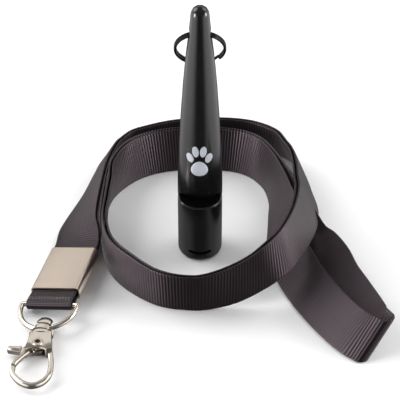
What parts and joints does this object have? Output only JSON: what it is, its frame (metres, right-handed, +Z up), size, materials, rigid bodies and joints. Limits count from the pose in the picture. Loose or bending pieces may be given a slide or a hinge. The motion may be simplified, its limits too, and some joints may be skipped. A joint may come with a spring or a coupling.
{
  "type": "dog training whistle with neck lanyard",
  "caption": "Black pealess training whistle standing on its mouthpiece inside a coiled charcoal neck strap with crimp, D-ring and swivel trigger hook.",
  "frame": {"origin": "centre of the mouthpiece's end face, where the whistle stands on the table", "axes": "+Z up along the whistle's axis, -Y towards the whistle's window side, +X to the right seen from the window side"},
  "size_m": [0.118, 0.1277, 0.0916],
  "materials": {
    "whistle_satin_black": "moulded black ABS, satin",
    "whistle_gloss_black": "moulded black ABS, gloss",
    "black_enamel": "glossy black coating on spring steel",
    "charcoal_webbing": "ribbed grosgrain polyester",
    "satin_nickel": "satin nickel plate",
    "polished_nickel": "bright nickel plate",
    "spring_steel": "drawn spring wire"
  },
  "bodies": {
    "lanyard": {"lanyard_strap": "charcoal_webbing", "strap_crimp": "satin_nickel"},
    "whistle": {"whistle_body": "whistle_gloss_black", "fipple_plug": "whistle_satin_black"},
    "split_ring": {"whistle_split_ring": "black_enamel"},
    "d_ring": {"d_ring": "polished_nickel"},
    "swivel": {"swivel_eye": "polished_nickel"},
    "hook": {"hook_body": "polished_nickel", "lever_rivet": "satin_nickel", "lever_spring": "spring_steel"},
    "gate": {"gate_lever": "polished_nickel"}
  },
  "joints": [
    {"name": "whistle_lift", "type": "slide", "parent": "lanyard", "child": "whistle", "axis": [0, 0, 1], "range_m": [0, 0.15]},
    {"name": "split_ring_swing", "type": "hinge", "parent": "whistle", "child": "split_ring", "pos_m": [0, 0, 0.082], "axis": [1, 0, 0], "range_deg": [0, 310]},
    {"name": "d_ring_swing", "type": "hinge", "parent": "lanyard", "child": "d_ring", "pos_m": [-0.0472, -0.03327, 0.0036], "axis": [-0.9604, 0.227, -0.1616], "range_deg": [0, 100]},
    {"name": "swivel_tilt", "type": "hinge", "parent": "d_ring", "child": "swivel", "pos_m": [-0.04941, -0.04337, 0.00249], "axis": [-0.9604, 0.227, -0.1616], "range_deg": [0, 22]},
    {"name": "hook_swivel", "type": "hinge", "parent": "swivel", "child": "hook", "pos_m": [-0.0488, -0.0459, 0.00245], "axis": [0.0471, 0.9989, 0], "continuous": true},
    {"name": "gate_open", "type": "hinge", "parent": "hook", "child": "gate", "pos_m": [-0.04936, -0.05148, 0.00245], "axis": [0, 0, 1], "range_deg": [0, 30], "stiffness_Nm_per_rad": 0.01, "springref_deg": -28.65, "deforming": ["lever_spring"]}
  ]
}
